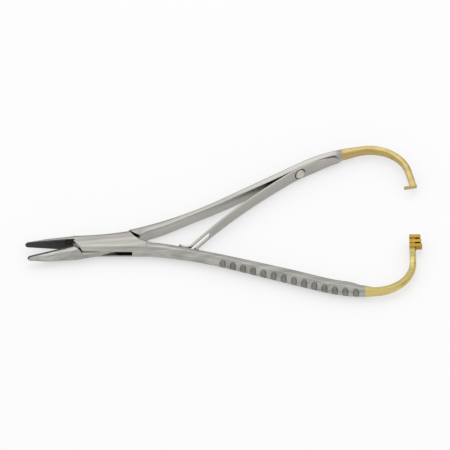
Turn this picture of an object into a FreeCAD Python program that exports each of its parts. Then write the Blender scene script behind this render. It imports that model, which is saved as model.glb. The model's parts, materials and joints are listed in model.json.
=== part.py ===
import FreeCAD, Part
import math
import os
import re

# Surgical needle holder, 14 cm, held in the palm.
# Two crossed halves turn on one flat pin in a box joint. Each half is drawn in
# the closed frame: pin axis on Z, jaws towards -X, handles towards +X, middle
# plane at z = 0. Its Placement then turns it by half of the opening angle and
# lifts it, so that the holder lies on the lower face of its box.

doc = FreeCAD.newDocument("needle_holder")
sheet = doc.addObject("Spreadsheet::Sheet", "sizes")

# Driving dimensions in millimetres and degrees.
DRIVING = [
    # box joint
    ("opening_angle", 12.1, "angle between the halves when the spring holds them open"),
    ("box_thick", 5.2, "thickness of the box over both plates"),
    ("box_front", 13.1, "pin axis to the front corner of the box plates"),
    ("box_lean", 34.0, "lean of the front shoulder from square"),
    ("box_jaw_side", 3.3, "half width of the box where the jaw leaves it"),
    ("box_mid_side", 4.1, "half width beside the pin, on the jaw's side"),
    ("box_rear_side", 5.35, "half width at the rear step"),
    ("box_grip_side", 4.55, "half width at the front, on the handle's side"),
    ("box_edge_round", 2.3, "rounding along both sides of the box"),
    ("throat_radius", 10.0, "hollow behind the box, between plates and handle"),
    ("throat_along", 16.0, "centre of that hollow along the axis"),
    ("throat_across", 8.2, "centre of that hollow off the axis"),
    ("web_thick", 1.8, "flat web of the inner half inside the box"),
    ("web_half", 3.8, "half width of the web, and its radius about the pin"),
    ("slot_end", 7.5, "pin axis to the blind ends of the slot"),
    ("pin_radius", 1.6, "box joint pin"),
    ("turning_play", 0.05, "play between sliding faces of the joint"),
    ("shoulder_play", 0.15, "play at the shoulders of the joint"),
    # jaws
    ("jaw_length", 29.8, "pin axis to the tips"),
    ("jaw_gap", 0.1, "gap left between the jaw faces when shut"),
    ("tip_depth", 1.15, "depth of the upper jaw behind its rounded tip"),
    ("tip_wide", 2.1, "width of both jaws behind the rounded tip"),
    ("upper_jaw_mid", 2.3, "depth of the upper jaw at mid length"),
    ("lower_jaw_extra", 0.45, "how much deeper the lower jaw is at mid length"),
    ("jaw_mid_wide", 3.25, "width of both jaws at mid length"),
    ("insert_length", 14.0, "carbide plate"),
    ("insert_thick", 0.6, "carbide plate"),
    ("relief_depth", 0.45, "hollow behind the carbide plate"),
    ("relief_length", 3.2, "hollow behind the carbide plate"),
    # arms
    ("root_along", 12.0, "where the crown line of an arm leaves the box"),
    ("root_across", 5.0, "crown line off the axis there"),
    ("root_angle", 6.4, "direction of the crown line there"),
    ("first_bend", 131.0, "radius of the first, outward bend"),
    ("arm_slope", 20.0, "steepest direction of an arm"),
    ("female_run", 32.4, "straight stretch of the outer half's arm"),
    ("male_run", 33.2, "straight stretch of the inner half's arm"),
    ("second_bend", 53.2, "radius of the bend back to the axis"),
    ("female_crest", 1.05, "straight crest of the outer half's arm"),
    ("male_crest", 4.3, "straight crest of the inner half's arm"),
    ("bow_radius", 15.0, "round end of the arms"),
    ("root_thick", 3.8, "arm thickness a little behind the box"),
    ("root_end", 14.0, "pin axis to where the arm has that thickness"),
    ("waist_start", 32.0, "pin axis to where the arm is down to its waist"),
    ("female_waist", 3.1, "thickness of the outer half's arm between box and grip"),
    ("male_waist", 2.7, "thickness of the inner half's arm between box and grip"),
    ("female_grip", 3.8, "thickness of the outer half's arm at the grip"),
    ("male_grip", 3.1, "thickness of the inner half's arm, where the spring is fastened"),
    ("plated_thick", 2.8, "arm thickness where the plating starts"),
    ("end_thick", 2.3, "arm thickness at the arm's end"),
    ("grip_start", 66.0, "pin axis to where the arm has its full size at the grip"),
    ("grip_end", 82.0, "pin axis to where the outer half's arm starts to thin again"),
    ("arm_wide", 5.1, "arm width at the grip"),
    ("waist_wide", 4.7, "arm width between box and grip"),
    ("plated_wide", 3.9, "arm width where the plating starts"),
    ("crest_wide", 3.4, "arm width at its crest"),
    ("stem_wide", 2.2, "arm width where the round end turns into the stem"),
    ("tail_wide", 1.3, "arm width at the very end"),
    ("crown_rise", 1.45, "rise of the rounded outer face"),
    ("crown_end_rise", 0.8, "rise of the rounded outer face at the end"),
    ("flank_fall", 0.3, "how much nearer the middle plane the flanks are at the inner face"),
    ("plating_start", 88.8, "pin axis to the start of the gold plating"),
    # grip flutes
    ("flute_count", 14, "flutes across each handle"),
    ("flute_first", 39.0, "pin axis to the first flute, along the axis"),
    ("flute_last", 85.5, "pin axis to the last flute, along the axis"),
    ("flute_radius", 1.15, "radius of the cutter that mills the flutes"),
    ("flute_deep", 0.9, "depth of a flute under the crown"),
    # ratchet and hook
    ("tooth_count", 3, "ratchet teeth"),
    ("tooth_pitch", 2.2, "tooth to tooth"),
    ("tooth_thick", 1.5, "thickness of a tooth"),
    ("tooth_top", 2.4, "axis to the end face of the first tooth"),
    ("tooth_reach", 1.9, "how far the teeth stand out of the stem"),
    ("tooth_step", 0.25, "how much further each next tooth stands out"),
    ("tooth_wide", 1.7, "width of the teeth"),
    ("tooth_round", 0.55, "rounding of the teeth's outer ends"),
    ("hook_under", 3.6, "axis to the underside of the hook, when shut"),
    ("hook_thick", 0.5, "hook plate"),
    ("hook_wide", 1.1, "hook plate"),
    ("hook_reach", 2.2, "how far the hook stands in from its stem"),
    # leaf spring
    ("spring_thick", 0.7, "leaf spring"),
    ("spring_wide", 5.1, "leaf spring at the screw"),
    ("spring_tip_wide", 4.2, "leaf spring at its fork"),
    ("spring_tail_wide", 3.2, "leaf spring at its rear end"),
    ("spring_tail_long", 9.0, "taper of the leaf spring to its rear end"),
    ("spring_leave", 70.5, "pin axis to where the spring leaves the handle"),
    ("spring_rear", 86.6, "pin axis to the rear end of the spring"),
    ("spring_first_bend", 25.0, "radius of the bend where the spring leaves the handle"),
    ("spring_first_turn", 6.2, "angle of that bend"),
    ("spring_bend", 229.0, "radius of the spring's long bend"),
    ("spring_foot_bend", 2.6, "radius of the foot that slides on the handle"),
    ("spring_foot_turn", 80.0, "angle of the foot"),
    ("spring_toe", 1.5, "straight toe past the foot"),
    ("fork_wide", 2.4, "slot in the spring's free end"),
    ("fork_long", 11.0, "slot in the spring's free end"),
    ("fork_bridge", 1.2, "metal that closes that slot at the toe"),
    # screw and stud
    ("screw_along", 71.2, "pin axis to the spring screw"),
    ("screw_head", 1.9, "radius of the screw's head"),
    ("screw_dome", 1.4, "height of the screw's domed head over its seat"),
    ("screw_seat", 0.3, "depth of the seat that the head has in the spring"),
    ("screw_seat_play", 0.25, "play round the head in that seat"),
    ("screw_shank", 1.0, "radius of the screw's shank"),
    ("screw_grip", 1.7, "length of the shank in the handle"),
    ("stud_along", 28.8, "pin axis to the guide stud"),
    ("stud_radius", 0.8, "radius of the guide stud"),
    ("stud_head", 1.0, "radius of the stud's head"),
    ("stud_head_high", 0.5, "height of the stud's head"),
    ("stud_high", 2.0, "height of the stud over the handle"),
    ("stud_seat", 1.4, "length of the stud in the handle"),
]
for row, (name, value, note) in enumerate(DRIVING, start=1):
    sheet.set("A%d" % row, note)
    sheet.set("B%d" % row, str(value))
    sheet.setAlias("B%d" % row, name)
doc.recompute()


def size(name):
    return float(sheet.get(name))


def point(x, y, z=0.0):
    return FreeCAD.Vector(x, y, z)


def direction(angle):
    return point(math.cos(math.radians(angle)), math.sin(math.radians(angle)))


HALF_BOX = size("box_thick") / 2
HALF_WEB = size("web_thick") / 2
BEYOND = size("box_thick")
TINY = 1e-6
HALVINGS = 50

# Sections of an arm: their greatest distance, and the least number between two
# stations of its table. Sections of a jaw: shares of the tip's rounding still to
# come, and the rise of the crown as a share of the depth.
STATION_STEP = 2.4
LEAST_STATIONS = 4
TIP_LEFT = (0.92, 0.75, 0.5, 0.25, 0.0)
JAW_CROWN = 0.86


# Crown line of an arm: the middle of its rounded outer face, in the plane z = 0.
# It is a chain of tangent arcs and straight runs, drawn on the +Y side.
class CrownLine:
    def __init__(self, run, crest, end_across, waist_thick, grip_thick, grip_end):
        slope = size("arm_slope")
        self.waist_thick = waist_thick
        self.grip_thick = grip_thick
        self.grip_end = grip_end
        self.ends = [0.0]
        self.parts = []
        self.add(size("first_bend"), size("root_angle"), slope)
        self.add(run, slope, slope)
        self.add(size("second_bend"), slope, 0.0)
        self.add(crest, 0.0, 0.0)
        self.add(size("bow_radius"), 0.0, -90.0)
        self.add(self.at(self.ends[-1])[0].y - end_across, -90.0, -90.0)

    def add(self, value, start, end):
        """Next stretch: a run of this length, or a bend of this radius."""
        self.parts.append((value, start, end))
        self.ends.append(self.ends[-1] + self.length(self.parts[-1]))

    @staticmethod
    def length(part):
        value, start, end = part
        if start == end:
            return value
        return value * math.radians(abs(end - start))

    def at(self, distance):
        """Place and direction of the line, this far along it."""
        place = point(size("root_along"), size("root_across"))
        left = distance
        for part in self.parts:
            value, start, end = part
            covered = min(left, self.length(part))
            if part is self.parts[-1] or left < 0:
                covered = left
            if start == end:
                angle = start
                place = place + direction(start) * covered
            else:
                sense = 1 if end > start else -1
                angle = start + sense * math.degrees(covered / value)
                middle = place + direction(start + sense * 90) * value
                place = middle - direction(angle + sense * 90) * value
            left -= covered
            if left <= 0:
                break
        return place, angle

    def at_x(self, along):
        """Distance along the line of the first point with this x."""
        low, high = -2 * BEYOND, self.ends[4]
        for _ in range(HALVINGS):
            middle = (low + high) / 2
            if self.at(middle)[0].x < along:
                low = middle
            else:
                high = middle
        return (low + high) / 2


# Section of an arm or a jaw: flat inner face, straight flanks, rounded crown.
# place lies on the crown, outward is the direction that the crown faces.
# The inner face is narrower than the crown by fall on each side.
def section(place, outward, thick, wide, rise, fall=0.0):
    up = point(0, 0, wide / 2)
    inner_up = point(0, 0, wide / 2 - fall)
    inner = place - outward * thick
    shoulder = place - outward * rise
    return Part.Wire([
        Part.makeLine(inner - inner_up, inner + inner_up),
        Part.makeLine(inner + inner_up, shoulder + up),
        Part.Arc(shoulder + up, place, shoulder - up).toShape(),
        Part.makeLine(shoulder - up, inner - inner_up),
    ])


def between(table, distance):
    """Values of a table of stations, eased from one station to the next."""
    if distance <= table[0][0]:
        return table[0][1:]
    for before, after in zip(table, table[1:]):
        if distance <= after[0]:
            share = (distance - before[0]) / (after[0] - before[0])
            share = share * share * (3 - 2 * share)
            return [a + (b - a) * share for a, b in zip(before[1:], after[1:])]
    return table[-1][1:]


def arm_table(line):
    """Thickness, width, crown rise and flank fall of an arm, by distance along it."""
    crotch = line.at_x(throat_at(0.0))
    root = line.at_x(size("root_end"))
    waist = line.at_x(size("waist_start"))
    grip = line.at_x(size("grip_start"))
    rear = line.at_x(line.grip_end)
    plated = line.at_x(size("plating_start"))
    rise, end_rise = size("crown_rise"), size("crown_end_rise")
    fall = size("flank_fall")
    place, angle = line.at(crotch)
    joint_thick = (place.y - size("shoulder_play")) / math.cos(math.radians(angle))
    joint_wide = size("box_thick") - size("jaw_gap")
    return [
        (crotch, joint_thick, joint_wide, size("box_edge_round"), 0.0),
        (root, size("root_thick"), joint_wide, size("box_edge_round"), fall),
        (waist, line.waist_thick, size("waist_wide"), rise, fall),
        (grip, line.grip_thick, size("arm_wide"), rise, fall),
        (rear, line.grip_thick, size("arm_wide"), rise, fall),
        (plated, size("plated_thick"), size("plated_wide"), end_rise, fall),
        (line.ends[4], size("end_thick"), size("crest_wide"), end_rise, fall),
        (line.ends[5], size("end_thick"), size("stem_wide"), end_rise, fall / 2),
        (line.ends[6], size("end_thick"), size("tail_wide"), size("tail_wide") / 4, fall / 3),
    ]


def arm_solid(line, side):
    """An arm from inside the box to its end. side is 1 for +Y, -1 for -Y."""
    table = arm_table(line)
    nose = line.at_x(throat_at(size("throat_across")))
    marks = [row[0] for row in table]
    stations = [nose, (nose + marks[0]) / 2]
    for start, end in zip(marks, marks[1:]):
        count = max(LEAST_STATIONS, math.ceil((end - start) / STATION_STEP))
        stations += [start + (end - start) * k / count for k in range(count)]
    stations.append(marks[-1])
    wires = []
    for distance in stations:
        place, angle = line.at(distance)
        outward = direction(angle + 90)
        thick, wide, rise, fall = between(table, distance)
        place.y *= side
        outward.y *= side
        wires.append(section(place, outward, thick, wide, rise, fall))
    return Part.makeLoft(wires, True, True)


def jaw_solid(side, extra):
    """A jaw with its flat face on the closing plane. extra deepens it at mid length."""
    tip = -size("jaw_length")
    face = size("jaw_gap") / 2
    round_off = size("tip_wide") / 2
    mid = tip + size("insert_length") / 2
    root_depth = size("box_jaw_side") + extra - face
    root_wide = size("box_thick") - size("jaw_gap")
    table = []
    for left in TIP_LEFT:
        share = math.sqrt(1 - left ** 2)
        x = tip + round_off * (1 - left)
        table.append((x, size("tip_depth") * share, size("tip_wide") * share))
    table[0] = (tip,) + table[0][1:]
    table += [
        (mid, size("upper_jaw_mid") + extra, size("jaw_mid_wide")),
        (-size("box_front"), root_depth, root_wide),
        (-size("slot_end"), root_depth, root_wide),
    ]
    wires = []
    for x, depth, wide in table:
        outward = point(0, side)
        place = point(x, side * (face + depth))
        rise = min(wide / 2, JAW_CROWN * depth)
        wires.append(section(place, outward, depth, wide, rise))
    return Part.makeLoft(wires, True, True)


def prism(corners, low, high):
    """Upright solid on a closed outline of straight lines."""
    outline = Part.makePolygon([point(x, y, low) for x, y in corners + corners[:1]])
    return Part.Face(outline).extrude(point(0, 0, high - low))


# Plates, slot and web of the box joint, in plan. The outer half has both plates,
# and is solid beside the slot where its jaw and its handle leave the box.
def rounded_block(corners, rear_arc, side_arc, low, high):
    """Box plates: straight front, one bowed side, hollow rear step, rounded sides."""
    front_inner, front_grip, rear_grip, rear_inner, step = corners
    edges = [
        Part.makeLine(front_inner, front_grip),
        Part.makeLine(front_grip, rear_grip),
        Part.makeLine(rear_grip, rear_inner),
        Part.Arc(rear_inner, rear_arc, step).toShape(),
        Part.Arc(step, side_arc[0], side_arc[1]).toShape(),
        Part.makeLine(side_arc[1], front_inner),
    ]
    outline = Part.Face(Part.Wire(edges))
    outline.translate(point(0, 0, low))
    block = outline.extrude(point(0, 0, high - low))
    sides = [e for e in block.Edges if along_side(e)]
    return block.makeFillet(size("box_edge_round"), sides)


def along_side(edge):
    """True for the four long edges of the box plates, which are rounded over."""
    box = edge.BoundBox
    return box.ZLength < TINY and box.XLength > size("box_front")


def throat_hollow(radius):
    """Upright cylinder behind the box, from the hollow between plates and handle."""
    middle = point(size("throat_along"), size("throat_across"), -BEYOND)
    return Part.makeCylinder(radius, 2 * BEYOND, middle)


def throat_at(across):
    """x where the front of the throat hollow reaches this far off the axis."""
    rise = across - size("throat_across")
    return size("throat_along") - math.sqrt(size("throat_radius") ** 2 - rise ** 2)


def box_plates():
    front = size("box_front")
    lean = math.tan(math.radians(size("box_lean")))
    grip_side, rear_side = size("box_grip_side"), size("box_rear_side")
    low = size("box_edge_round") / 2
    throat = point(throat_at(-low), -low)
    crotch = point(throat_at(0.0), 0.0)
    step = point(throat_at(rear_side), rear_side)
    corners = [
        point(-front, 0.0),
        point(-front + grip_side * lean, -grip_side),
        point(throat.x, -size("root_across")),
        throat,
        step,
    ]
    side_arc = [point(-size("web_half") / 4, size("box_mid_side"))]
    side_arc.append(point(-front, size("box_jaw_side")))
    return rounded_block(corners, crotch, side_arc, -HALF_BOX, HALF_BOX)


def web_solid():
    """Web of the inner half: a disc about the pin and a bar to each side."""
    half, gap = size("web_half"), size("shoulder_play")
    reach = size("box_front") + gap
    crotch = throat_at(-gap)
    disc = Part.makeCylinder(half, size("web_thick"), point(0, 0, -HALF_WEB))
    front = prism([(-reach, -gap), (0, -gap), (0, -half), (-reach, -half)], -HALF_WEB, HALF_WEB)
    rear = prism([(crotch, gap), (0, gap), (0, half), (crotch, half)], -HALF_WEB, HALF_WEB)
    return disc.fuse([front, rear])


def slot_solid():
    """Slot of the outer half: everything that the web needs, and the way out."""
    end = size("slot_end")
    far = 2 * size("box_front")
    side = 2 * size("box_rear_side")
    half = HALF_WEB + size("turning_play")
    corners = [
        (-far, -side), (end, -side), (end, 0), (far, 0),
        (far, side), (-end, side), (-end, 0), (-far, 0),
    ]
    return prism(corners, -half, half)


def jaw_room():
    """Region in front of the leaning shoulder, where the inner half is full thick."""
    lean = math.radians(size("box_lean"))
    front = size("box_front") + size("shoulder_play") / math.cos(lean)
    side = 2 * size("box_rear_side")
    far = 2 * size("jaw_length")
    corners = [(-far, -side), (-front + side * math.tan(lean), -side), (-front, 0), (-far, 0)]
    return prism(corners, -BEYOND, BEYOND)


def nose_cut():
    """What is cut off the inner half's arm so that it clears the rear of the box,
    shut as well as open."""
    side = 2 * size("box_rear_side")
    middle = size("throat_along")
    ahead = prism([(0, -side), (middle, -side), (middle, side), (0, side)], -BEYOND, BEYOND)
    shut = throat_hollow(size("throat_radius") - size("shoulder_play"))
    opened = shut.copy()
    opened.rotate(point(0, 0), point(0, 0, 1), -size("opening_angle"))
    return ahead.cut(shut.common(opened))


# Flutes: hollows across the crown, milled with a cutter that stands upright.
def flutes(line, side):
    count = int(size("flute_count"))
    first, last = line.at_x(size("flute_first")), line.at_x(size("flute_last"))
    cuts = []
    for k in range(count):
        place, angle = line.at(first + (last - first) * k / (count - 1))
        place = place + direction(angle + 90) * (size("flute_radius") - size("flute_deep"))
        foot = point(place.x, side * place.y, -BEYOND)
        cuts.append(Part.makeCylinder(size("flute_radius"), 2 * BEYOND, foot))
    return cuts


def ratchet(line):
    """Teeth that stand out of the end of the outer half's stem."""
    outer = line.at(line.ends[6])[0].x
    inner = outer - size("end_thick")
    half = size("tooth_wide") / 2
    teeth = []
    for k in range(int(size("tooth_count"))):
        high = size("tooth_top") - k * size("tooth_pitch")
        low = high - size("tooth_thick")
        reach = outer + size("tooth_reach") + (k - 1) * size("tooth_step")
        tooth = prism([(inner, low), (reach, low), (reach, high), (inner, high)], -half, half)
        ends = [edge for edge in tooth.Edges if edge.BoundBox.XMin > reach - TINY]
        ends = [edge for edge in ends if edge.BoundBox.YLength < TINY]
        teeth.append(tooth.makeFillet(size("tooth_round"), ends))
    return teeth


def hook(line):
    """Plate across the end of the inner half's stem, which catches behind a tooth."""
    outer = line.at(line.ends[6])[0].x
    inner = outer - size("end_thick") - size("hook_reach")
    low = size("hook_under")
    high = low + size("hook_thick")
    half = size("hook_wide") / 2
    return prism([(inner, low), (outer, low), (outer, high), (inner, high)], -half, half)


# Leaf spring: a strip bent in the plane of the handles, drawn in the inner half's
# frame on its middle line, from the rear end forward.
def spring_edges(line, turn):
    """Middle line: along the handle, away by this turn, round the foot, up the toe."""
    offset = line.grip_thick + size("turning_play") + size("spring_thick") / 2
    rear, leave = line.at_x(size("spring_rear")), line.at_x(size("spring_leave"))
    places = []
    for distance in (rear, (rear + line.ends[2]) / 2, line.ends[2], leave):
        place, angle = line.at(distance)
        places.append(place - direction(angle + 90) * offset)
    edges = [Part.Arc(*places[:3]).toShape(), Part.makeLine(*places[2:])]
    place = places[-1]
    angle = size("arm_slope") + 180
    foot = size("spring_foot_bend")
    for radius, swing in (
        (size("spring_first_bend"), size("spring_first_turn")),
        (size("spring_bend"), turn),
        (-foot, -size("spring_foot_turn")),
    ):
        centre = place + direction(angle + 90) * radius
        half = centre - direction(angle + 90 + swing / 2) * radius
        end = centre - direction(angle + 90 + swing) * radius
        edges.append(Part.Arc(place, half, end).toShape())
        place, angle = end, angle + swing
    edges.append(Part.makeLine(place, place + direction(angle) * size("spring_toe")))
    return edges


def foot_height(turn):
    """Gap between the foot and the outer half's handle, when held open."""
    foot = spring_edges(male_line, turn)[4]
    foot.rotate(point(0, 0), point(0, 0, 1), size("opening_angle"))
    foot.rotate(point(0, 0), point(1, 0, 0), 180)
    table = arm_table(female_line)
    start, end = female_line.at_x(size("root_end")), female_line.at_x(size("grip_start"))
    inner = []
    steps = math.ceil((end - start) / STATION_STEP) * LEAST_STATIONS
    for k in range(steps + 1):
        distance = start + (end - start) * k / steps
        place, angle = female_line.at(distance)
        inner.append(place - direction(angle + 90) * between(table, distance)[0])
    handle = Part.makePolygon(inner)
    below = foot.distToShape(handle)[1][0]
    gap = below[1].y - below[0].y
    reach = foot.distToShape(handle)[0]
    return (reach if gap > 0 else -reach) - size("spring_thick") / 2


def resting_turn():
    """Turn of the spring's long bend that sets its foot down on the other handle."""
    low, high = 0.0, size("spring_foot_turn")
    for _ in range(HALVINGS // 2):
        middle = (low + high) / 2
        if foot_height(middle) > size("turning_play"):
            low = middle
        else:
            high = middle
    return low


def shifted(edge, offset):
    """The edge moved sideways by offset, to its left as it runs."""
    spots = []
    for share in (0.0, 0.5, 1.0):
        at = edge.FirstParameter + (edge.LastParameter - edge.FirstParameter) * share
        along = edge.tangentAt(at)
        spots.append(edge.valueAt(at) + point(-along.y, along.x) * offset)
    if isinstance(edge.Curve, Part.Line):
        return Part.makeLine(spots[0], spots[2])
    return Part.Arc(*spots).toShape()


def strip_face(edges, thick):
    """Flat face of this thickness about a chain of tangent edges."""
    left = [shifted(edge, thick / 2) for edge in edges]
    right = [shifted(edge, -thick / 2) for edge in edges]
    caps = []
    for edge, share in ((0, 0), (-1, 1)):
        ends = []
        for side in (left, right):
            at = side[edge].LastParameter if share else side[edge].FirstParameter
            ends.append(side[edge].valueAt(at))
        caps.append(Part.makeLine(*ends))
    return Part.Face(Part.Wire(Part.__sortEdges__(left + right + caps)))


def spring_outline(rear, tip):
    """Outline of the strip seen across its flat, from the toe to the rear end."""
    half, tip_half, tail_half = (
        size(name) / 2 for name in ("spring_wide", "spring_tip_wide", "spring_tail_wide")
    )
    fork = tip + size("fork_long") + size("fork_bridge")
    corner = size("fork_bridge") / 2
    low = [
        (tip, corner - tip_half),
        (tip + corner, -tip_half),
        (fork, -tip_half),
        (rear - size("spring_tail_long"), -half),
        (rear - tail_half, -tail_half),
    ]
    high = [(x, -z) for x, z in reversed(low)]
    spots = [point(x, 0, z) for x, z in low + [(rear, 0)] + high]
    edges = [Part.makeLine(a, b) for a, b in zip(spots, spots[1:] + spots[:1])]
    edges[4:6] = [Part.Arc(*spots[4:7]).toShape()]
    return Part.Face(Part.Wire(edges))


# Features of the document.
def from_sheet(expression):
    """An expression in sheet names, as the document writes it."""
    return re.sub("[a-z][a-z_]*", lambda word: "sizes." + word.group(), expression)


def bound(kind, name, expressions):
    """A feature whose properties are bound to the sheet."""
    made = doc.addObject(kind, name)
    for key, expression in expressions.items():
        made.setExpression(key, from_sheet(expression))
    return made


def plain(name, shape):
    made = doc.addObject("Part::Feature", name)
    made.Shape = shape
    return made


def combined(kind, name, base, tool):
    made = doc.addObject(kind, name)
    made.Base = base
    made.Tool = tool
    return made


def slab(name, side, start, length, depth):
    """Box across a jaw, from its closing plane into the jaw on this side."""
    low = "jaw_gap / 2" if side > 0 else "-jaw_gap / 2 - %s" % depth
    return bound("Part::Box", name, {
        "Length": length,
        "Width": depth,
        "Height": "2 * box_thick",
        "Placement.Base.x": start,
        "Placement.Base.y": low,
        "Placement.Base.z": "-box_thick",
    })


def extruded(name, face, along, length):
    """Solid on both sides of a face."""
    made = bound("Part::Extrusion", name, {"LengthFwd": length})
    made.Base = face
    made.DirMode = "Custom"
    made.Dir = along
    made.Symmetric = True
    made.Solid = True
    return made


def turned(line, distance, depth, side):
    """Placement on the arm's inner face, its local Z pointing out of the arm's crown."""
    place, angle = line.at(distance)
    outward = direction(angle + 90)
    place = place - outward * depth
    turn = FreeCAD.Rotation(point(0, 0, 1), point(outward.x, side * outward.y))
    return FreeCAD.Placement(point(place.x, side * place.y), turn)


def below(depth):
    return FreeCAD.Placement(point(0, 0, -depth), FreeCAD.Rotation())


def finish_jaw(label, forging, side):
    """Cuts the insert's seat and the relief behind it; makes the insert that fills it."""
    start = "-jaw_length - insert_thick"
    seat = slab(label + "_seat", side, start, "insert_length + insert_thick", "insert_thick")
    insert = combined("Part::Common", label + "_insert", forging, seat)
    relief = slab(label + "_relief", side, "insert_length - jaw_length", "relief_length", "relief_depth")
    seated = combined("Part::Cut", label + "_seated", forging, seat)
    return combined("Part::Cut", label + "_relieved", seated, relief), insert


def bore(name, radius):
    return bound("Part::Cylinder", name, {
        "Radius": radius,
        "Height": "2 * box_thick",
        "Placement.Base.z": "-box_thick",
    })


female_line = CrownLine(
    size("female_run"), size("female_crest"), -size("tooth_top"),
    size("female_waist"), size("female_grip"), size("grip_end"),
)
male_line = CrownLine(
    size("male_run"), size("male_crest"), size("hook_under"),
    size("male_waist"), size("male_grip"), size("spring_rear"),
)

# Outer half: both box plates, upper jaw, lower handle, ratchet.
outer_blank = box_plates().fuse([jaw_solid(1, 0.0), arm_solid(female_line, -1)] + ratchet(female_line))
outer_blank = outer_blank.cut([slot_solid()] + flutes(female_line, -1))
outer_forging = plain("outer_forging", outer_blank.removeSplitter())
outer_jaw, upper_insert = finish_jaw("upper", outer_forging, 1)
outer_bored = combined("Part::Cut", "outer_bored", outer_jaw, bore("outer_bore", "pin_radius"))
stud_depth = between(arm_table(female_line), female_line.at_x(size("stud_along")))[0]
stud_place = turned(female_line, female_line.at_x(size("stud_along")), stud_depth, -1)
stud_hole = bound("Part::Cylinder", "stud_hole", {
    "Radius": "stud_radius",
    "Height": "stud_seat + shoulder_play",
})
stud_hole.Placement = stud_place.multiply(below(size("shoulder_play")))
outer_half = combined("Part::Cut", "outer_half", outer_bored, stud_hole)

# Inner half: web in the box, lower jaw, upper handle, hook.
inner_blank = web_solid().fuse([
    jaw_solid(-1, size("lower_jaw_extra")).common(jaw_room()),
    arm_solid(male_line, 1).cut(nose_cut()),
    hook(male_line),
])
inner_blank = inner_blank.cut(flutes(male_line, 1))
inner_forging = plain("inner_forging", inner_blank.removeSplitter())
inner_jaw, lower_insert = finish_jaw("lower", inner_forging, -1)
inner_bore = bore("inner_bore", "pin_radius + turning_play")
inner_bored = combined("Part::Cut", "inner_bored", inner_jaw, inner_bore)
screw_place = turned(male_line, male_line.at_x(size("screw_along")), size("male_grip"), 1)
screw_hole = bound("Part::Cylinder", "screw_hole", {"Radius": "screw_shank", "Height": "screw_grip"})
screw_hole.Placement = screw_place
inner_half = combined("Part::Cut", "inner_half", inner_bored, screw_hole)

# Pin of the box joint, flush with both plates.
joint_pin = bound("Part::Cylinder", "joint_pin", {"Radius": "pin_radius", "Height": "box_thick"})

# Leaf spring with its hole for the screw and its fork for the stud.
strip = strip_face(spring_edges(male_line, resting_turn()), size("spring_thick"))
tip, rear = strip.BoundBox.XMin, strip.BoundBox.XMax
strip_feature = plain("spring_strip_face", strip)
strip_solid = extruded("spring_strip", strip_feature, point(0, 0, 1), "spring_wide")
outline_feature = plain("spring_outline_face", spring_outline(rear, tip))
outline_solid = extruded("spring_outline", outline_feature, point(0, 1, 0), "2 * jaw_length")
spring_blank = combined("Part::Common", "spring_blank", strip_solid, outline_solid)
fork = bound("Part::Box", "spring_fork", {
    "Length": "fork_long",
    "Width": "2 * jaw_length",
    "Height": "fork_wide",
    "Placement.Base.y": "-jaw_length",
    "Placement.Base.z": "-fork_wide / 2",
})
fork.Placement.Base.x = tip + size("fork_bridge")
spring_forked = combined("Part::Cut", "spring_forked", spring_blank, fork)
spring_hole = bound("Part::Cylinder", "spring_hole", {"Radius": "screw_shank", "Height": "box_thick"})
spring_hole.Placement = screw_place.multiply(below(HALF_BOX))
spring_bored = combined("Part::Cut", "spring_bored", spring_forked, spring_hole)
head_seat = bound("Part::Cylinder", "head_seat", {
    "Radius": "screw_head + screw_seat_play",
    "Height": "box_thick",
})
seat_floor = size("spring_thick") + size("turning_play") - size("screw_seat")
head_seat.Placement = screw_place.multiply(below(seat_floor + size("box_thick")))
spring_part = combined("Part::Cut", "spring_part", spring_bored, head_seat)

# Spring screw: domed head, plain shank.
screw_shank = bound("Part::Cylinder", "screw_shank_part", {
    "Radius": "screw_shank",
    "Height": "spring_thick - screw_seat + 2 * turning_play + screw_grip",
    "Placement.Base.z": "screw_seat - spring_thick - 2 * turning_play",
})
screw_dome = bound("Part::Ellipsoid", "screw_dome_part", {
    "Radius1": "screw_dome",
    "Radius2": "screw_head",
    "Radius3": "screw_head",
    "Placement.Base.z": "screw_seat - spring_thick - 2 * turning_play",
})
screw_dome.Angle1 = -90
screw_dome.Angle2 = 0
screw = combined("Part::Fuse", "screw", screw_dome, screw_shank)

# Guide stud: shank in the outer half's handle, head above the spring.
stud_shank = bound("Part::Cylinder", "stud_shank", {
    "Radius": "stud_radius",
    "Height": "stud_seat + stud_high",
    "Placement.Base.z": "-stud_high",
})
stud_head = bound("Part::Cylinder", "stud_head_part", {
    "Radius": "stud_head",
    "Height": "stud_head_high",
    "Placement.Base.z": "-stud_high",
})
stud = combined("Part::Fuse", "stud", stud_head, stud_shank)

# Every sub-part: the sense in which its half is turned open, and its place in it.
in_frame = FreeCAD.Placement()
PARTS = [
    (outer_half, "female_half", -1, in_frame),
    (inner_half, "male_half", 1, in_frame),
    (joint_pin, "joint_rivet", -1, below(HALF_BOX)),
    (upper_insert, "carbide_insert_upper", -1, in_frame),
    (lower_insert, "carbide_insert_lower", 1, in_frame),
    (spring_part, "leaf_spring", 1, in_frame),
    (screw, "spring_screw", 1, screw_place),
    (stud, "spring_guide_stud", -1, stud_place),
]
for made, label, sense, place in PARTS:
    made.Label = label
    turn = FreeCAD.Rotation(point(0, 0, 1), sense * size("opening_angle") / 2)
    made.Placement = FreeCAD.Placement(point(0, 0, HALF_BOX), turn).multiply(place)
doc.recompute()

for made in doc.Objects:
    if "Invalid" in made.State or "Error" in made.State:
        raise RuntimeError("%s did not recompute: %s" % (made.Name, made.State))
for made, label, sense, place in PARTS:
    shape = made.Shape
    if shape.isNull() or not shape.isValid() or len(shape.Solids) != 1:
        raise RuntimeError("%s is not one valid solid" % label)

os.makedirs("parts", exist_ok=True)
for made, label, sense, place in PARTS:
    made.Shape.exportStep("parts/%s.step" % label)
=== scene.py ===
import json
import math
import bmesh
import bpy
from mathutils import Matrix, Vector


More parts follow.
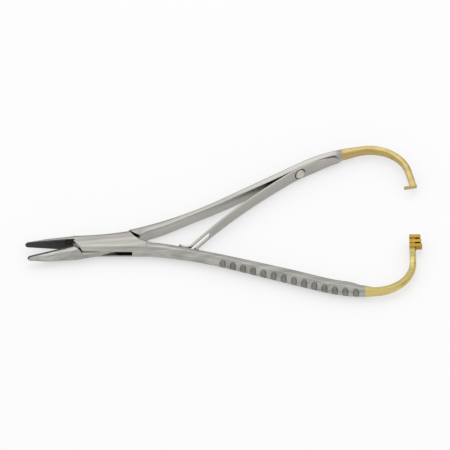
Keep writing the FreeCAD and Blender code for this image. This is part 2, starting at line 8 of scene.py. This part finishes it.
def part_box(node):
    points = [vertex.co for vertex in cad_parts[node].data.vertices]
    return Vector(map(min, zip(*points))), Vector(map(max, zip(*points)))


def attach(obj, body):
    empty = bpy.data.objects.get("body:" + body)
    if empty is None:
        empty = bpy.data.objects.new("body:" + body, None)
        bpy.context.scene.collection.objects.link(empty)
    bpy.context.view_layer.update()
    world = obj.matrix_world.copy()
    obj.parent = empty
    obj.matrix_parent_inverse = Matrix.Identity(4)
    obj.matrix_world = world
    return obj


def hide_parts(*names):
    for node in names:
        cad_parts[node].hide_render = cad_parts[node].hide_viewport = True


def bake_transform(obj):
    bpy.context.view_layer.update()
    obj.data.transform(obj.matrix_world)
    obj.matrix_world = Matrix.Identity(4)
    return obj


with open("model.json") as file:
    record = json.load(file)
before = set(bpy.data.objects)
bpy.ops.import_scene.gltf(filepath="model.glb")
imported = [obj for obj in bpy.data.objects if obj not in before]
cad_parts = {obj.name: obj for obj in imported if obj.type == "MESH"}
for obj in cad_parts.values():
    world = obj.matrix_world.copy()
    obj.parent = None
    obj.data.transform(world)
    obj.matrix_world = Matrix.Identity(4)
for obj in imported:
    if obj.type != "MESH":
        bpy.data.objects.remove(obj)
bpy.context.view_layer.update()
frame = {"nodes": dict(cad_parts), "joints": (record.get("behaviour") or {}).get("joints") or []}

# Camera: the holder lies on its side and is seen from above its lower handle,
# from so far away that its lines stay parallel.
PICTURE_PIXELS = 450
PIXEL = 0.35e-3
CAMERA_TURN = math.radians(-7.0)
CAMERA_TILT = math.radians(45.0)
CAMERA_AIM = Vector((0.04095, 0.0047, 0.0026))
CAMERA_BACK = Vector((0.0, 0.0, 0.6))

camera_data = bpy.data.cameras.new("camera")
camera_data.type = "ORTHO"
camera_data.ortho_scale = PICTURE_PIXELS * PIXEL
camera = bpy.data.objects.new("camera", camera_data)
camera.rotation_euler = (CAMERA_TILT, 0.0, CAMERA_TURN)
camera.location = CAMERA_AIM + camera.rotation_euler.to_matrix() @ CAMERA_BACK
bpy.context.scene.collection.objects.link(camera)
bpy.context.scene.camera = camera
bpy.context.scene.view_settings.view_transform = "Standard"


# Ground: a sheet of matt white paper on a light table. It is much larger than the
# holder, so that every face reflects some of it, and lies a hair below the holder's
# flat side, which softens the edge of the shadow.
def linear(hex_colour):
    """An sRGB hex colour as linear red, green, blue and alpha."""
    channels = [int(hex_colour[k:k + 2], 16) / 255 for k in (1, 3, 5)]
    return [c / 12.92 if c <= 0.04045 else ((c + 0.055) / 1.055) ** 2.4 for c in channels] + [1.0]


def add_node(tree, kind, inputs, **settings):
    """One node with its settings; an input is a value or the output that feeds it."""
    node = tree.nodes.new(kind)
    for name, value in settings.items():
        setattr(node, name, value)
    for name, value in inputs.items():
        if isinstance(value, bpy.types.NodeSocket):
            tree.links.new(value, node.inputs[name])
        else:
            node.inputs[name].default_value = value
    return node


PAPER_SIZE = 1.6
PAPER_DROP = 0.0004
PAPER_WHITE = "#F6F6F7"
TABLE_SHARE = 0.55

paper_mesh = bpy.data.meshes.new("paper")
paper_form = bmesh.new()
bmesh.ops.create_grid(paper_form, x_segments=1, y_segments=1, size=PAPER_SIZE / 2)
paper_place = (CAMERA_AIM.x, CAMERA_AIM.y, -PAPER_DROP)
bmesh.ops.translate(paper_form, verts=paper_form.verts, vec=paper_place)
paper_form.to_mesh(paper_mesh)
paper_form.free()
paper = bpy.data.objects.new("paper", paper_mesh)
bpy.context.scene.collection.objects.link(paper)

# Matt paper lit from below: an even white without gloss. The table's light is a
# share of what the eye and the metal see of it; the rest takes the holder's shadow.
lit_paper = bpy.data.materials.new("lit_paper")
lit_paper.use_nodes = True
paper_tree = lit_paper.node_tree
paper_tree.nodes.clear()
paper_top = add_node(paper_tree, "ShaderNodeBsdfDiffuse", {"Color": linear(PAPER_WHITE)})
table_light = add_node(paper_tree, "ShaderNodeEmission", {
    "Color": (1, 1, 1, 1),
    "Strength": 1.0,
})
paper_ray = add_node(paper_tree, "ShaderNodeLightPath", {})
paper_seen = paper_ray.outputs["Is Camera Ray"]
for ray_kind in ("Is Glossy Ray", "Is Transmission Ray"):
    either_ray = add_node(paper_tree, "ShaderNodeMath", {
        0: paper_seen,
        1: paper_ray.outputs[ray_kind],
    }, operation="MAXIMUM")
    paper_seen = either_ray.outputs["Value"]
table_share = add_node(paper_tree, "ShaderNodeMath", {
    0: paper_seen,
    1: TABLE_SHARE,
}, operation="MULTIPLY")
paper_mix = add_node(paper_tree, "ShaderNodeMixShader", {
    0: table_share.outputs["Value"],
    1: paper_top.outputs["BSDF"],
    2: table_light.outputs["Emission"],
})
add_node(paper_tree, "ShaderNodeOutputMaterial", {"Surface": paper_mix.outputs["Shader"]})
paper_mesh.materials.append(lit_paper)

# Lamps: one large soft box overhead and a little behind, which draws the soft shadow
# towards the camera, in a plain light tent. The tent is open at its foot, which the
# steel shows as darker bands, but for a white card on the camera's side.
SOFT_BOX_PLACE = Vector((0.0, 0.28, 0.64))
SOFT_BOX_SIZE = 0.6
SOFT_BOX_WATTS = 0.66
TENT_TOP, TENT_FOOT, CARD_WHITE = "#F8F8F9", "#928E89", "#FFFFFF"
TENT_FOOT_HEIGHT = 0.38
CARD_EDGE, CARD_FULL = -0.35, -0.75

box_data = bpy.data.lights.new("soft_box", "AREA")
box_data.energy = SOFT_BOX_WATTS
box_data.shape = "DISK"
box_data.size = SOFT_BOX_SIZE
soft_box = bpy.data.objects.new("soft_box", box_data)
soft_box.location = CAMERA_AIM + SOFT_BOX_PLACE
soft_box.rotation_euler = SOFT_BOX_PLACE.to_track_quat("Z", "Y").to_euler()
bpy.context.scene.collection.objects.link(soft_box)

tent = bpy.data.worlds.new("light_tent")
bpy.context.scene.world = tent
tent.use_nodes = True
tent_tree = tent.node_tree
tent_tree.nodes.clear()
direction = add_node(tent_tree, "ShaderNodeTexCoord", {})
aim = add_node(tent_tree, "ShaderNodeSeparateXYZ", {"Vector": direction.outputs["Generated"]})
rise = add_node(tent_tree, "ShaderNodeMapRange", {
    "Value": aim.outputs["Z"],
    "From Min": 0.0,
    "From Max": TENT_FOOT_HEIGHT,
})
wall_colour = add_node(tent_tree, "ShaderNodeMix", {
    "Factor": rise.outputs["Result"],
    "A": linear(TENT_FOOT),
    "B": linear(TENT_TOP),
}, data_type="RGBA")
card = add_node(tent_tree, "ShaderNodeMapRange", {
    "Value": aim.outputs["Y"],
    "From Min": CARD_EDGE,
    "From Max": CARD_FULL,
}, interpolation_type="SMOOTHSTEP")
tent_colour = add_node(tent_tree, "ShaderNodeMix", {
    "Factor": card.outputs["Result"],
    "A": wall_colour.outputs["Result"],
    "B": linear(CARD_WHITE),
}, data_type="RGBA")
cloth = add_node(tent_tree, "ShaderNodeBackground", {"Color": tent_colour.outputs["Result"]})
# Where the eye looks past the paper it sees plain white, while steel and gold still
# reflect the tent.
past_paper = add_node(tent_tree, "ShaderNodeBackground", {"Color": (1, 1, 1, 1)})
tent_ray = add_node(tent_tree, "ShaderNodeLightPath", {})
tent_seen = add_node(tent_tree, "ShaderNodeMixShader", {
    0: tent_ray.outputs["Is Camera Ray"],
    1: cloth.outputs["Background"],
    2: past_paper.outputs["Background"],
})
add_node(tent_tree, "ShaderNodeOutputWorld", {"Surface": tent_seen.outputs["Shader"]})

# Outer half: one drop forging of stainless steel, with the box, the upper jaw and the
# lower handle. It is ground to a satin along its length, its grip is milled across,
# and its end is plated with gold.
HALF_OPENING = math.radians(abs(frame["joints"][0]["range_deg"][0])) / 2
PLATING_START = 0.0888
TEETH_START, TEETH_LOW, TEETH_HIGH = 0.1043, -0.0045, 0.0026
RELIEF_START, RELIEF_END, RELIEF_DEPTH = -0.0161, -0.0118, 0.00055
GRIP_START, GRIP_END = 0.037, 0.0875
FLUTE_LEAN, FLUTE_FACING = -0.2, 0.15
FLUTE_TALL, FLUTE_TILT = 0.0015, 0.03
MERGE = 2e-6
CREASE = math.radians(24.0)


def swing(turn):
    """Matrix from a half's shut place to the one where it is held open."""
    return Matrix.Rotation(turn, 4, "Z")


def ground_copy(node, name):
    """A merged copy of a solid, which stands for it."""
    form = bmesh.new()
    form.from_mesh(frame["nodes"][node].data)
    bmesh.ops.remove_doubles(form, verts=form.verts, dist=MERGE)
    piece = bpy.data.objects.new(name, bpy.data.meshes.new(name))
    bpy.context.scene.collection.objects.link(piece)
    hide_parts(node)
    return piece, form


def finish_form(piece, form, materials):
    """Smooth faces, sharp edges, and the materials in order."""
    for face in form.faces:
        face.smooth = True
    for edge in form.edges:
        edge.smooth = edge.calc_face_angle(0.0) < CREASE
    form.to_mesh(piece.data)
    form.free()
    if "custom_normal" in piece.data.attributes:
        piece.data.attributes.remove(piece.data.attributes["custom_normal"])
    for material in materials:
        piece.data.materials.append(material)


def plate_end(form, turn, slot_number):
    """Cuts the mesh where the plating starts, and gives the end its material."""
    start = swing(turn) @ Vector((PLATING_START, 0, 0))
    along = swing(turn) @ Vector((1, 0, 0))
    everything = list(form.verts) + list(form.edges) + list(form.faces)
    bmesh.ops.bisect_plane(form, geom=everything, plane_co=start, plane_no=along, dist=MERGE)
    for face in form.faces:
        middle = swing(-turn) @ face.calc_center_median()
        if middle.x > PLATING_START:
            face.material_index = slot_number


def mark_flutes(form, turn, side, slot_number):
    """Gives the upright hollows across the grip, on this side, their darker material, which is
    painted shade.
    """
    outward = Vector((FLUTE_LEAN, side, 0.0)).normalized()
    form.normal_update()
    for face in form.faces:
        middle = swing(-turn) @ face.calc_center_median()
        facing = swing(-turn).to_3x3() @ face.normal
        heights = [corner.co.z for corner in face.verts]
        upright = abs(facing.z) < FLUTE_TILT and max(heights) - min(heights) > FLUTE_TALL
        if upright and GRIP_START < middle.x < GRIP_END and facing.dot(outward) > FLUTE_FACING:
            face.material_index = slot_number


# Grinding marks are some hundredths of a millimetre wide, too fine to show. They are
# drawn 0.6 mm wide, and the bands that the belt leaves 2.2 mm wide.
MARK_LONG, MARK_WIDE = 0.03, 0.0006
MARK_DEPTH, MARK_STRENGTH = 0.00002, 0.6
BAND_LONG, BAND_WIDE = 0.12, 0.0022
BAND_SHARE = 0.6
TONE_LOW, TONE_HIGH = 0.35, 0.65
# Handling leaves patches of more and of less polish.
HANDLED_PATCH, HANDLED_ROUGHNESS = 0.009, 0.06
# A hollow is painted dark where little of the sky above it is open: painted shade.
HOLLOW_REACH, HOLLOW_RAYS = 0.002, 8
HOLLOW_SHUT, HOLLOW_OPEN, HOLLOW_DARK = 0.2, 0.72, 0.04
# Edges are worn round, but not that of the pin, which is ground flush with the box.
FLUSH_RADIUS = 0.0023
PLAIN_EDGE, STEEL_EDGE, GOLD_EDGE = 0.00025, 0.0005, 0.0006
EDGE_RAYS = 6


def ground_metal(name, hex_light, hex_dark, roughness, grain_turn=0.0, round_edge=PLAIN_EDGE):
    """A metal with fine grinding marks along it, worn edges, and painted shade in its hollows."""
    material = bpy.data.materials.new(name)
    material.use_nodes = True
    tree = material.node_tree
    shader = tree.nodes["Principled BSDF"]
    shader.inputs["Metallic"].default_value = 1.0
    place = add_node(tree, "ShaderNodeTexCoord", {})
    along_marks = add_node(tree, "ShaderNodeMapping", {
        "Vector": place.outputs["Object"],
        "Rotation": (0.0, 0.0, grain_turn),
        "Scale": (MARK_LONG, MARK_WIDE, MARK_WIDE),
    }, vector_type="TEXTURE")
    marks = add_node(tree, "ShaderNodeTexNoise", {
        "Vector": along_marks.outputs["Vector"],
        "Scale": 1.0,
        "Detail": 4.0,
        "Roughness": 0.55,
    })
    along_bands = add_node(tree, "ShaderNodeMapping", {
        "Vector": place.outputs["Object"],
        "Rotation": (0.0, 0.0, grain_turn),
        "Scale": (BAND_LONG, BAND_WIDE, BAND_WIDE),
    }, vector_type="TEXTURE")
    bands = add_node(tree, "ShaderNodeTexNoise", {
        "Vector": along_bands.outputs["Vector"],
        "Scale": 1.0,
        "Detail": 1.0,
    })
    strokes = add_node(tree, "ShaderNodeMix", {
        "Factor": BAND_SHARE,
        "A": marks.outputs["Fac"],
        "B": bands.outputs["Fac"],
    }, data_type="FLOAT")
    stroke = add_node(tree, "ShaderNodeMapRange", {
        "Value": strokes.outputs["Result"],
        "From Min": TONE_LOW,
        "From Max": TONE_HIGH,
    })
    tone = add_node(tree, "ShaderNodeMix", {
        "Factor": stroke.outputs["Result"],
        "A": linear(hex_dark),
        "B": linear(hex_light),
    }, data_type="RGBA")
    hollow = add_node(tree, "ShaderNodeAmbientOcclusion", {
        "Distance": HOLLOW_REACH,
    }, samples=HOLLOW_RAYS)
    depth = add_node(tree, "ShaderNodeMapRange", {
        "Value": hollow.outputs["AO"],
        "From Min": HOLLOW_SHUT,
        "From Max": HOLLOW_OPEN,
        "To Min": HOLLOW_DARK,
        "To Max": 1.0,
    })
    # Painted shade: the base colour is darkened in hollows.
    shaded = add_node(tree, "ShaderNodeMix", {
        "Factor": 1.0,
        "A": tone.outputs["Result"],
        "B": depth.outputs["Result"],
    }, data_type="RGBA", blend_type="MULTIPLY")
    tree.links.new(shaded.outputs["Result"], shader.inputs["Base Color"])
    handling = add_node(tree, "ShaderNodeTexNoise", {
        "Vector": place.outputs["Object"],
        "Scale": 1 / HANDLED_PATCH,
        "Detail": 2.0,
    })
    polish = add_node(tree, "ShaderNodeMapRange", {
        "Value": handling.outputs["Fac"],
        "To Min": roughness + HANDLED_ROUGHNESS,
        "To Max": roughness - HANDLED_ROUGHNESS,
    })
    tree.links.new(polish.outputs["Result"], shader.inputs["Roughness"])
    in_plan = add_node(tree, "ShaderNodeVectorMath", {
        0: place.outputs["Object"],
        1: (1.0, 1.0, 0.0),
    }, operation="MULTIPLY")
    from_pin = add_node(tree, "ShaderNodeVectorMath", {
        0: in_plan.outputs["Vector"],
    }, operation="LENGTH")
    worn_edge = add_node(tree, "ShaderNodeMapRange", {
        "Value": from_pin.outputs["Value"],
        "From Min": FLUSH_RADIUS,
        "From Max": FLUSH_RADIUS + round_edge,
        "To Min": 0.0,
        "To Max": round_edge,
    })
    edges = add_node(tree, "ShaderNodeBevel", {
        "Radius": worn_edge.outputs["Result"],
    }, samples=EDGE_RAYS)
    relief = add_node(tree, "ShaderNodeBump", {
        "Height": marks.outputs["Fac"],
        "Distance": MARK_DEPTH,
        "Strength": MARK_STRENGTH,
        "Normal": edges.outputs["Normal"],
    })
    tree.links.new(relief.outputs["Normal"], shader.inputs["Normal"])
    return material


# Ground stainless steel: a warm grey with a soft sheen drawn out along the piece.
satin_steel = ground_metal(
    "satin_stainless_steel", "#B8B6AF", "#97958F", 0.3, round_edge=STEEL_EDGE)
# Buffed gold plate: a pale yellow with clear reflections.
bright_gold = ground_metal(
    "polished_gold_plate", "#D6C684", "#C4B26C", 0.08, round_edge=GOLD_EDGE)
# Gold plate on the cut teeth: duller, and painted deeper in colour as shade on the teeth.
teeth_shade_gold = ground_metal("gold_plate_teeth_painted_shade", "#BC9A46", "#A07E2E", 0.2)
# Painted shade in the relief beside the box, which lies in shadow: nearly black, dull.
relief_shade_metal = ground_metal("relief_painted_shade", "#4A4643", "#33302E", 0.5)
# Stainless steel in the flutes: duller as the cutter leaves it, and painted darker than the
# ground faces as shade in the hollows.
flute_shade_steel = ground_metal("milled_stainless_painted_shade", "#94928C", "#807E79", 0.4)

outer_finishes = [satin_steel, bright_gold, teeth_shade_gold, relief_shade_metal, flute_shade_steel]
outer_half, outer_form = ground_copy("female_half", "outer_half")
plate_end(outer_form, -HALF_OPENING, outer_finishes.index(bright_gold))
for outer_face in outer_form.faces:
    spot = swing(HALF_OPENING) @ outer_face.calc_center_median()
    # The teeth get the gold with painted shade.
    if spot.x > TEETH_START and TEETH_LOW < spot.y < TEETH_HIGH:
        outer_face.material_index = outer_finishes.index(teeth_shade_gold)
    # The relief beside the box gets nearly black painted shade.
    if RELIEF_START < spot.x < RELIEF_END and 0.0 <= spot.y < RELIEF_DEPTH:
        outer_face.material_index = outer_finishes.index(relief_shade_metal)
mark_flutes(outer_form, -HALF_OPENING, -1, outer_finishes.index(flute_shade_steel))
finish_form(outer_half, outer_form, outer_finishes)
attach(outer_half, "female")

# Inner half: the second forging of the same steel, with the web through the box, the
# lower jaw, the upper handle and the hook. It is ground, milled and plated like the
# first, and its marks follow the upper handle.
HALF_GRAIN = math.radians(22.0)

# The same ground steel, its sheen drawn out along the upper handle.
inner_steel = ground_metal(
    "satin_stainless_steel_inner", "#B8B6AF", "#97958F", 0.3, HALF_GRAIN, STEEL_EDGE)
# Gold plate over ground steel: a brownish yellow with a soft sheen.
satin_gold = ground_metal(
    "satin_gold_plate", "#C0AA72", "#B09A62", 0.2, HALF_GRAIN, GOLD_EDGE)

inner_finishes = [inner_steel, satin_gold, flute_shade_steel]
inner_half, inner_form = ground_copy("male_half", "inner_half")
plate_end(inner_form, HALF_OPENING, inner_finishes.index(satin_gold))
mark_flutes(inner_form, HALF_OPENING, 1, inner_finishes.index(flute_shade_steel))
finish_form(inner_half, inner_form, inner_finishes)
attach(inner_half, "male")

# Pin of the box joint: a steel pin through both plates of the box and the web. It is
# riveted over and ground flush together with the box, so that it hardly shows.
joint_pin, pin_form = ground_copy("joint_rivet", "joint_pin")
finish_form(joint_pin, pin_form, [satin_steel])
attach(joint_pin, "female")

# Jaw plates: sintered tungsten carbide, brazed into both jaws. Their gripping faces
# are cut crosswise at half a millimetre.
CUT_PITCH, CUT_DEPTH, CUT_STRENGTH = 0.0005, 0.00005, 0.4
WAVE_TURNS = 20.0
SPECKLE_SIZE = 0.0006

# Sintered carbide: dark grey and half dull, faintly speckled. Its grain is a few
# thousandths of a millimetre and is drawn coarser, at 0.6 mm.
sintered_carbide = bpy.data.materials.new("sintered_carbide")
sintered_carbide.use_nodes = True
carbide_tree = sintered_carbide.node_tree
carbide_shader = carbide_tree.nodes["Principled BSDF"]
carbide_shader.inputs["Metallic"].default_value = 0.7
carbide_shader.inputs["Roughness"].default_value = 0.45
carbide_place = add_node(carbide_tree, "ShaderNodeTexCoord", {})
speckle = add_node(carbide_tree, "ShaderNodeTexNoise", {
    "Vector": carbide_place.outputs["Object"],
    "Scale": 1 / SPECKLE_SIZE,
    "Detail": 4.0,
})
carbide_tone = add_node(carbide_tree, "ShaderNodeMix", {
    "Factor": speckle.outputs["Fac"],
    "A": linear("#343434"),
    "B": linear("#4A4A4A"),
}, data_type="RGBA")
carbide_tree.links.new(carbide_tone.outputs["Result"], carbide_shader.inputs["Base Color"])
carbide_cuts = []
for cut_turn in (45.0, -45.0):
    turned_place = add_node(carbide_tree, "ShaderNodeMapping", {
        "Vector": carbide_place.outputs["Object"],
        "Rotation": (0.0, math.radians(cut_turn), 0.0),
    })
    carbide_cuts.append(add_node(carbide_tree, "ShaderNodeTexWave", {
        "Vector": turned_place.outputs["Vector"],
        "Scale": 2 * math.pi / (WAVE_TURNS * CUT_PITCH),
    }))
crossed = add_node(carbide_tree, "ShaderNodeMath", {
    0: carbide_cuts[0].outputs["Fac"],
    1: carbide_cuts[1].outputs["Fac"],
}, operation="MULTIPLY")
cut_relief = add_node(carbide_tree, "ShaderNodeBump", {
    "Height": crossed.outputs["Value"],
    "Distance": CUT_DEPTH,
    "Strength": CUT_STRENGTH,
})
carbide_tree.links.new(cut_relief.outputs["Normal"], carbide_shader.inputs["Normal"])

for jaw_plate_node, jaw_plate_name, jaw_plate_body in (
    ("carbide_insert_upper", "jaw_plate_upper", "female"),
    ("carbide_insert_lower", "jaw_plate_lower", "male"),
):
    jaw_plate, plate_form = ground_copy(jaw_plate_node, jaw_plate_name)
    finish_form(jaw_plate, plate_form, [sintered_carbide])
    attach(jaw_plate, jaw_plate_body)

# Leaf spring: a strip of spring steel, bent cold and held by one screw, its slotted
# foot on the other handle. A real foot slides when the hand closes. This one keeps its
# place, and the strip is cut across into short lengths.
SPRING_GRAIN = math.radians(35.0)
BEND_STEPS = 40

# Cold-rolled spring steel: an even light grey with a fine drawn-out sheen.
rolled_steel = ground_metal("rolled_spring_steel", "#B2B0A8", "#A8A69F", 0.32, SPRING_GRAIN)

leaf_spring, spring_form = ground_copy("leaf_spring", "spring_strip")
spring_low, spring_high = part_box("leaf_spring")
for step in range(1, BEND_STEPS):
    bend_x = spring_low[0] + (spring_high[0] - spring_low[0]) * step / BEND_STEPS
    spring_parts = list(spring_form.verts) + list(spring_form.edges) + list(spring_form.faces)
    bmesh.ops.bisect_plane(
        spring_form, geom=spring_parts, plane_co=(bend_x, 0, 0), plane_no=(1, 0, 0))
finish_form(leaf_spring, spring_form, [rolled_steel])
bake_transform(leaf_spring)

# Spring screw and guide stud: turned from stainless bar. The screw has a plain domed
# head; the stud stands on the lower handle, below the slot in the spring.

# Turned stainless steel: lighter and brighter than the ground faces.
turned_steel = ground_metal("turned_stainless_steel", "#CBC8BE", "#BFBCB3", 0.22)
for bar_node, bar_name, bar_body in (
    ("spring_screw", "spring_screw_head", "male"),
    ("spring_guide_stud", "guide_stud", "female"),
):
    bar_piece, bar_form = ground_copy(bar_node, bar_name)
    finish_form(bar_piece, bar_form, [turned_steel])
    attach(bar_piece, bar_body)
